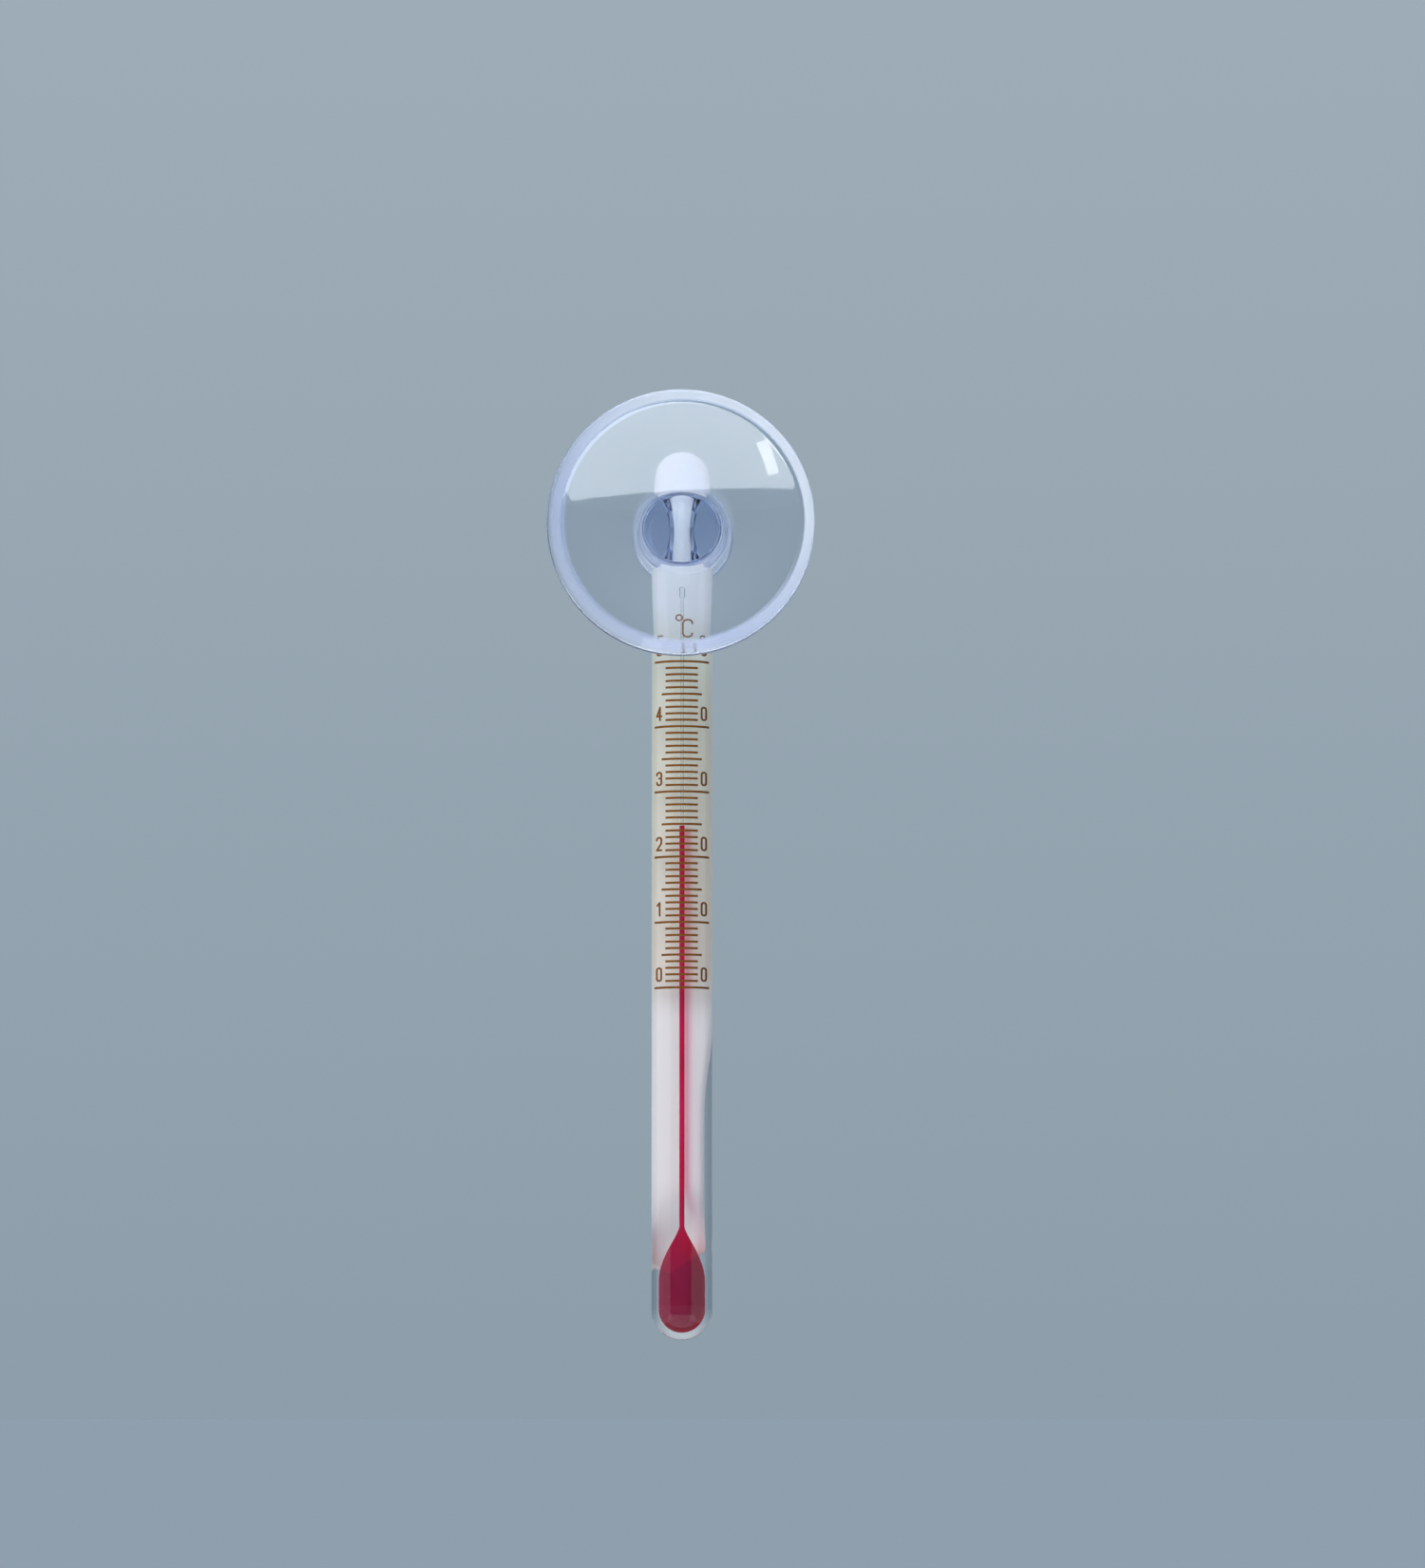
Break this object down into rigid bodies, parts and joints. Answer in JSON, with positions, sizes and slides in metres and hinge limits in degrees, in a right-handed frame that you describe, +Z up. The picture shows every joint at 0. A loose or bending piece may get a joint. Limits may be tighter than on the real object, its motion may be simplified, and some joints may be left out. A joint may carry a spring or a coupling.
{
  "type": "aquarium thermometer",
  "caption": "Small solid-stem glass aquarium thermometer with a red spirit column and a brown Celsius scale, held by its necked top in a clear suction cup.",
  "frame": {"origin": "centre of the plane on which the suction cup's lip seals", "axes": "-Y out of the cup's open side, the way the scale faces; +Z up along the stem, from the bulb to the domed knob; +X to the right as the scale is read"},
  "size_m": [0.0262, 0.0139, 0.0925],
  "materials": {
    "clear_pvc": "clear soft PVC, glossy, faint blue tint",
    "clear_glass": "clear drawn glass, fire polished",
    "opal_white": "white opal enamel inside the glass",
    "red_spirit": "dyed spirit, deep crimson",
    "brown_print": "fired brown enamel print"
  },
  "bodies": {
    "cup_lip": {"cup_lip": "clear_pvc", "cup_dish": "clear_pvc"},
    "cup_boss": {"cup_boss": "clear_pvc"},
    "thermometer": {"stem_glass": "clear_glass", "bulb_glass": "clear_glass", "opal_backing": "opal_white", "spirit_reservoir": "red_spirit", "spirit_thread": "red_spirit", "marks_10_degree": "brown_print", "marks_5_degree": "brown_print", "marks_1_degree": "brown_print", "numeral_0": "brown_print", "numeral_10": "brown_print", "numeral_20": "brown_print", "numeral_30": "brown_print", "numeral_40": "brown_print", "numeral_50": "brown_print", "unit_mark": "brown_print"},
    "spirit_top": {"spirit_thread_top": "red_spirit"}
  },
  "joints": [
    {"name": "cup_press", "type": "slide", "parent": "cup_lip", "child": "cup_boss", "axis": [0, -1, 0], "range_m": [0, 0.0025], "stiffness_N_per_m": 400, "deforming": ["cup_dish"]},
    {"name": "stem_spin", "type": "hinge", "parent": "cup_boss", "child": "thermometer", "pos_m": [0, 0.0085, 0], "axis": [0, 0, 1], "continuous": true},
    {"name": "column_rise", "type": "slide", "parent": "thermometer", "child": "spirit_top", "axis": [0, 0, 1], "range_m": [-0.01602, 0.01602], "deforming": ["spirit_thread"]}
  ]
}
